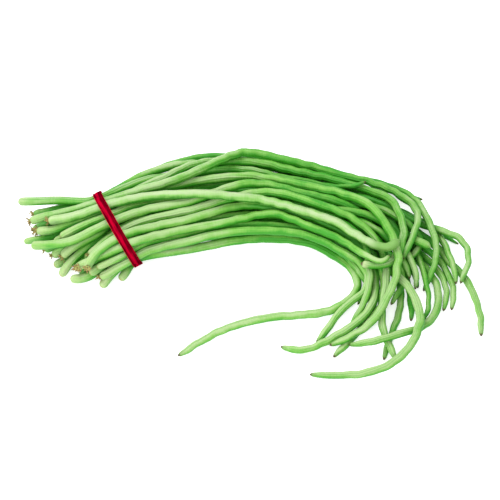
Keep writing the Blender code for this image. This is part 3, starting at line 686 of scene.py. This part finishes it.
def dry_flower():
    """Papery leaf from dark brown to straw, with a last trace of green next to the stalk."""
    material, start, shader = new_finish("dry_flower_cup")
    place = start.kept_vector("leaf")
    blotch = place.stretched(0.7, 0.7, 0.7).noise(3.0, 0.6)
    grain = place.stretched(1.9, 1.9, 1.9).noise(2.0)
    tip = start.kept("leaf_tip")
    colour = blotch.ramp(0.40, 0.56).mix(BROWN, TAN)
    colour = grain.ramp(0.52, 0.64).mix(colour, STRAW)
    colour = tip.ramp(0.05, 0.5, 0.8, 0.0).mix(colour, STALK_GREEN)
    relief = grain + blotch
    bump = start.node("Bump", {}, {"Strength": 0.6, "Distance": 0.0003, "Height": relief})
    set_inputs(start, shader, {
        "Base Color": colour, "Roughness": 0.72 + grain * 0.2, "Normal": bump})
    return material


def sepal(rng, base, out, back, across, reach, wide, curl):
    """Points of one thin pointed leaf, upper side then under side, and how far along each lies."""
    t = np.linspace(0.0, 1.0, SEPAL_ROWS)[:, None]
    v = np.linspace(-1.0, 1.0, SEPAL_COLUMNS)[None, :]
    ragged = 1.0 + 0.35 * np.sin(t * rng.uniform(6, 12) + rng.uniform(0, 6))
    half = wide * (1.0 - t) ** 0.7 * ragged
    bend = curl * t
    far = 0.8 + reach * (np.sin(bend) / curl if curl > 0.05 else t)
    lift = reach * (1.0 - np.cos(bend)) / max(curl, 0.05) + 0.35 * t
    lift = lift + 0.30 * v ** 2 + 0.25 * np.sin(5.0 * t + rng.uniform(0, 6)) * v
    sway = rng.uniform(-0.35, 0.35) * t ** 2 * reach
    spot = (base + far[..., None] * out + (half * v + sway)[..., None] * across
            + lift[..., None] * back)
    thick = SEPAL_THIN + SEPAL_ROOT * (1.0 - t)
    under = spot - (thick * np.ones_like(v))[..., None] * back
    return np.stack((spot, under)).reshape(-1, 3), np.tile((t * np.ones_like(v)).ravel(), 2)


def sheet_faces(rows, columns, first, flip):
    """Faces of two stacked grids of points with their rim closed."""
    faces = []
    size = rows * columns

    def at(side, r, c):
        return first + side * size + r * columns + c

    for r in range(rows - 1):
        for c in range(columns - 1):
            faces.append((at(0, r, c), at(0, r, c + 1), at(0, r + 1, c + 1), at(0, r + 1, c)))
            faces.append((at(1, r, c), at(1, r + 1, c), at(1, r + 1, c + 1), at(1, r, c + 1)))
    for r in range(rows - 1):
        for c, turn in ((0, 1), (columns - 1, -1)):
            faces.append((at(0, r, c), at(0, r + 1, c), at(1, r + 1, c), at(1, r, c))[::turn])
    for c in range(columns - 1):
        for r, turn in ((0, -1), (rows - 1, 1)):
            faces.append((at(0, r, c), at(0, r, c + 1), at(1, r, c + 1), at(1, r, c))[::turn])
    return [face[::-1] for face in faces] if flip else faces


def stalk_stub(rng, number, base, back, across, other, stub):
    """Rings of points of the short stub, wide at its foot and leaning a little."""
    rings = []
    lean = rng.uniform(-0.25, 0.25, 2)
    turns = 2 * math.pi * np.arange(STUB_SIDES) / STUB_SIDES
    spokes = np.cos(turns)[:, None] * across + np.sin(turns)[:, None] * other
    for r in range(STUB_RINGS):
        t = r / (STUB_RINGS - 1)
        wide = STUB_FOOT - (STUB_FOOT - STUB_WAIST) * min(1.0, 2.2 * t)
        wide *= 1.0 if r < STUB_RINGS - 1 else 0.55
        centre = base + (stub * t - 0.25) * back + stub * t * (lean[0] * across + lean[1] * other)
        uneven = 1.0 + 0.10 * np.sin(3 * turns + number) + rng.uniform(-0.05, 0.05, STUB_SIDES)
        rings.append(centre + (wide * uneven)[:, None] * spokes)
    return rings


def flower_cup(node, number, sepals, reach, curl, stub, facing=(0.0, 0.0, 0.0)):
    """A dried cup on the stem end of a pod: a ring of sepals round a short stub."""
    rng = np.random.default_rng(CUP_SEED + number)
    line, up = stem_ends[node]
    back = line[0] - line[4]
    back = back / np.linalg.norm(back) + facing
    back /= np.linalg.norm(back)
    across = up[0] - (up[0] @ back) * back
    across /= np.linalg.norm(across)
    other = np.cross(back, across)
    base = line[CUP_RING] + CUP_SEAT * back
    points, share, faces = [], [], []
    for k in range(sepals):
        turn = 2 * math.pi * (k + rng.uniform(-0.3, 0.3)) / sepals
        out = math.cos(turn) * across + math.sin(turn) * other
        beside = math.cos(turn) * other - math.sin(turn) * across
        root = base + rng.uniform(-0.3, 0.5) * back
        leaf, along_leaf = sepal(rng, root, out, back, beside, reach * rng.uniform(0.7, 1.15),
                                 rng.uniform(1.10, 1.65), curl * rng.uniform(0.3, 1.5))
        faces += sheet_faces(SEPAL_ROWS, SEPAL_COLUMNS, len(points) * len(leaf), False)
        points.append(leaf)
        share.append(along_leaf)
    first = sum(len(leaf) for leaf in points)
    points += stalk_stub(rng, number, base, back, across, other, stub)
    share.append(np.repeat(0.25 + 0.3 * np.arange(STUB_RINGS) / (STUB_RINGS - 1), STUB_SIDES))
    faces += tube_faces(STUB_RINGS, STUB_SIDES, first)
    top = first + (STUB_RINGS - 1) * STUB_SIDES
    faces.append(tuple(range(first, first + STUB_SIDES))[::-1])
    faces.append(tuple(range(top, top + STUB_SIDES)))
    places = np.vstack(points)
    cup = mesh_object("cup_" + node[4:], places, faces, flower_finish)
    note(cup, "leaf", places + CUP_APART * number)
    note(cup, "leaf_tip", np.concatenate(share))


flower_finish = dry_flower()

# Pod, sepals, their length, how far they curl over backwards, length of the stub, and which way
# the cup is tipped from the pod's own line.
CUPS = (
    ("pod_top_01", 8, 5.0, 1.3, 2.2),
    ("pod_top_02", 9, 5.4, 1.4, 2.4),
    ("pod_back_01", 8, 5.4, 1.3, 2.0),
    ("pod_back_02", 8, 5.0, 1.4, 2.0),
    ("pod_back_03", 8, 4.8, 1.3, 2.0),
    ("pod_core_20", 7, 4.8, 1.4, 2.4),
    ("pod_mid_03", 8, 5.2, 1.3, 2.6),
    ("pod_front_01", 10, 4.9, 0.9, 2.0, (0.1, -1.3, 1.6)),
    ("pod_mid_04", 10, 4.9, 0.9, 2.0, (0.3, -1.2, 1.3)),
    ("pod_front_03", 8, 5.0, 1.2, 2.2),
    ("pod_core_12", 6, 3.6, 1.3, 1.8),
    ("pod_core_11", 6, 3.6, 1.3, 1.8),
)
for number, cup in enumerate(CUPS):
    flower_cup(cup[0], number, *cup[1:])


# The tape: one strip of glossy crimson plastic film, pulled tight round the bunch so that it
# creases along its length, and stuck to itself where its end laps over at the back.
TAPE_SEED = 77
TAPE_AHEAD = np.array((0.839, 0.545, 0.0))
TAPE_LEFT = np.array((-0.434, 0.901, 0.0))
TAPE_RISE = np.array((-0.274, -0.132, 1.0))
TAPE_HALF = 4.5
TAPE_LAP = 17.0
TAPE_STEP = 0.7
TAPE_COLUMNS = 25
FILM = 0.34
GLUE = 0.06
SLACK = 0.30
PLEATS = 7
OUTLINE_TURNS = 1440


def tape_outline():
    """The tape's outer loop as (left, rise) points, and where the strip lies along the bunch."""
    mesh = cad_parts["tie_band"].data
    places = np.array([v.co for v in mesh.vertices]) / MM
    basis = np.column_stack((TAPE_AHEAD, TAPE_LEFT, TAPE_RISE))
    ahead, left, rise = np.linalg.solve(basis, places.T)
    turns = np.linspace(0.0, 2.0 * math.pi, OUTLINE_TURNS + 1)[:-1]
    outermost = [int(np.argmax(left * math.cos(t) + rise * math.sin(t))) for t in turns]
    keep = [i for n, i in enumerate(outermost) if i != outermost[n - 1]]
    loop = np.column_stack((left[keep], rise[keep]))
    loop = loop[np.concatenate(([True], np.linalg.norm(np.diff(loop, axis=0), axis=1) > 0.05))]
    return loop, 0.5 * (ahead.min() + ahead.max())


def tape_finish():
    """Shiny crimson film, its shine painted in its colour: long bright and dark pleats of painted
    highlight and painted shade that run round with the strip, and painted light on both rims.
    """
    material, start, shader = new_finish("crimson_tape")
    lie = start.kept_vector("strip")
    width = start.kept("strip_width")
    wander = lie.stretched(0.035, 0.0, 0.0).noise(2.0) * 0.7 - 0.35
    wavy = width + wander
    # Painted highlight: a bright band that wanders along the strip, and painted light on both
    # rims.
    painted_highlight_band = wavy.ramp(-0.72, -0.36) * wavy.ramp(-0.10, 0.34, 1.0, 0.12)
    rim = width.ramp(-0.99, -0.84, 0.62, 0.0)
    painted_far_rim_light = width.ramp(0.84, 0.98, 0.0, 0.30)
    # Streaks and patches: painted reflection and painted shade of the creased film, which has no
    # specular of its own; the streaks also give its bump.
    streak = lie.stretched(0.06, 0.75, 1.0).noise(3.0, 0.6)
    thin = lie.stretched(0.16, 2.2, 1.0).noise(2.0)
    patch = lie.stretched(0.075, 0.16, 1.0).noise(2.0)
    shade = painted_highlight_band * 0.42 + rim + painted_far_rim_light + streak * 1.15 + thin * 0.5 + patch * 0.6 - 1.05
    colour = shade.ramp(-0.12, 0.24).mix((0.040, 0.0001, 0.0020), (0.130, 0.0002, 0.0060))
    colour = shade.ramp(0.16, 0.62).mix(colour, (0.390, 0.0010, 0.0180))
    relief = streak + thin
    bump = start.node("Bump", {}, {"Strength": 0.5, "Distance": 0.0003, "Height": relief})
    set_inputs(start, shader, {
        "Base Color": colour,
        "Roughness": 0.30 + thin * 0.15,
        "Normal": bump,
        "Specular IOR Level": 0.0,
    })
    return material


def tape_creases(rng, u, v):
    """Height of the wandering pleats at every step along the strip and across it."""
    crease = np.zeros((len(u), len(v)))
    for _ in range(PLEATS):
        place = rng.uniform(-0.85, 0.85) + waves(rng, u, (50.0, 95.0), 0.45)
        height = np.clip(waves(rng, u, (38.0, 70.0), 0.30) + 0.10, 0.0, 0.36)
        crease += height[:, None] * np.exp(-((v[None, :] - place[:, None]) / 0.13) ** 2)
    return crease


def wrap_tape():
    """The strip once round the bunch, with its end lapped over on the far side."""
    rng = np.random.default_rng(TAPE_SEED)
    loop, middle = tape_outline()
    first = int(np.argmax(loop[:, 0] + 0.4 * loop[:, 1]))
    loop = np.roll(loop, -first, axis=0)
    closed = np.vstack((loop, loop[:1]))
    run = along(closed)
    long = run[-1]
    u = np.arange(0.0, long + TAPE_LAP, TAPE_STEP)
    spot = eased(at_lengths(closed, run, u % long), 3)
    heading = np.gradient(spot, axis=0)
    heading /= np.linalg.norm(heading, axis=1)[:, None]
    outward = np.column_stack((heading[:, 1], -heading[:, 0]))
    v = np.linspace(-1.0, 1.0, TAPE_COLUMNS)

    # Above the table the film is slack enough to crease; its end climbs over its own start.
    free = np.clip((spot[:, 1] - 0.9) / 2.0, 0.0, 1.0)[:, None]
    lapped = np.interp(u, (long - 9.0, long - 1.0), (0.0, FILM + GLUE))[:, None]
    crease = tape_creases(rng, u, v)
    rim = 0.10 * np.exp(-((1.0 - np.abs(v)) / 0.10) ** 2)[None, :]
    fray = 1.0 + 0.018 * waves(rng, u, (9.0, 17.0, 31.0), 1.0)
    offset = middle + TAPE_HALF * fray[:, None] * v[None, :]
    outer = lapped + (0.55 * crease + rim - SLACK) * free
    inner = lapped - SLACK * free - FILM + np.zeros_like(crease)
    layers = []
    for height, lowest in ((outer, FLOOR_GAP), (inner, FLOOR_GAP + FILM)):
        flat = spot[:, None, :] + height[:, :, None] * outward[:, None, :]
        flat[:, :, 1] = np.maximum(flat[:, :, 1], lowest)
        layers.append(offset[:, :, None] * TAPE_AHEAD + flat[:, :, :1] * TAPE_LEFT
                      + flat[:, :, 1:] * TAPE_RISE)
    points = np.stack(layers).reshape(-1, 3)
    piece = mesh_object("tape", points, sheet_faces(len(u), TAPE_COLUMNS, 0, True), tape_finish())
    strip = np.stack(np.broadcast_arrays(u[:, None], TAPE_HALF * v[None, :], 0.0 * crease), -1)
    note(piece, "strip", np.tile(strip.reshape(-1, 3), (2, 1)))
    note(piece, "strip_width", np.tile(np.broadcast_to(v[None, :], crease.shape).ravel(), 2))
    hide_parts("tie_band")


wrap_tape()


# The table is a wide pale sheet.  It is lit by a soft window high behind the bunch, a softer fill
# from the front, and the pale room all round.
ROOM_LIGHT = 1.04
FLOOR_SIZE = 6.0
FLOOR_GLOW = 0.60
WHITE = (1.0, 1.0, 1.0, 1.0)


def floor_sheet():
    """A pale matt floor with a faint even grain."""
    material, start, shader = new_finish("pale_floor")
    grain = start.node("TexCoord", {}, {}, "Object").stretched(40.0, 40.0, 40.0).noise(2.0)
    set_inputs(start, shader, {
        "Base Color": grain.mix((0.69, 0.69, 0.69), (0.71, 0.71, 0.71)),
        "Roughness": 0.9,
        "Specular IOR Level": 0.1,
        "Emission Color": WHITE,
        "Emission Strength": FLOOR_GLOW,
    })
    half = 0.5 * FLOOR_SIZE
    mesh = bpy.data.meshes.new("floor")
    mesh.from_pydata([(-half, -half, 0), (half, -half, 0), (half, half, 0), (-half, half, 0)],
                     [], [(0, 1, 2, 3)])
    mesh.materials.append(material)
    floor = bpy.data.objects.new("floor", mesh)
    bpy.context.scene.collection.objects.link(floor)


def soft_light(name, place, aim, size, power):
    """A square soft box at place that faces aim."""
    lamp = bpy.data.lights.new(name, "AREA")
    lamp.shape = "SQUARE"
    lamp.size = size
    lamp.energy = power
    light = bpy.data.objects.new(name, lamp)
    light.location = place
    light.rotation_euler = (Vector(aim) - Vector(place)).to_track_quat("-Z", "Y").to_euler()
    bpy.context.scene.collection.objects.link(light)


floor_sheet()
soft_light("window", place=(-0.55, 0.75, 1.5), aim=(0.0, 0.0, 0.0), size=1.0, power=22.5)
soft_light("fill", place=(-0.6, -1.2, 0.9), aim=(-0.1, 0.0, 0.0), size=1.2, power=16.0)
world = bpy.data.worlds.new("room")
world.use_nodes = True
room = world.node_tree.nodes["Background"].inputs
room["Color"].default_value = WHITE
room["Strength"].default_value = ROOM_LIGHT
bpy.context.scene.world = world
bpy.context.scene.view_settings.view_transform = "Standard"

# The camera looks down at the bunch from the front through a long lens.
LOOK_DOWN = math.radians(55.0)
CAMERA_FAR = 3.32
CAMERA_LENS = 250.0
SENSOR = 36.0
aim = Vector((0.0014, 0.0179, 0.0))
camera = bpy.data.objects.new("camera", bpy.data.cameras.new("camera"))
camera.data.lens = CAMERA_LENS
camera.data.sensor_width = SENSOR
camera.location = aim + CAMERA_FAR * Vector((0.0, -math.cos(LOOK_DOWN), math.sin(LOOK_DOWN)))
camera.rotation_euler = (0.5 * math.pi - LOOK_DOWN, 0.0, 0.0)
bpy.context.scene.collection.objects.link(camera)
bpy.context.scene.camera = camera
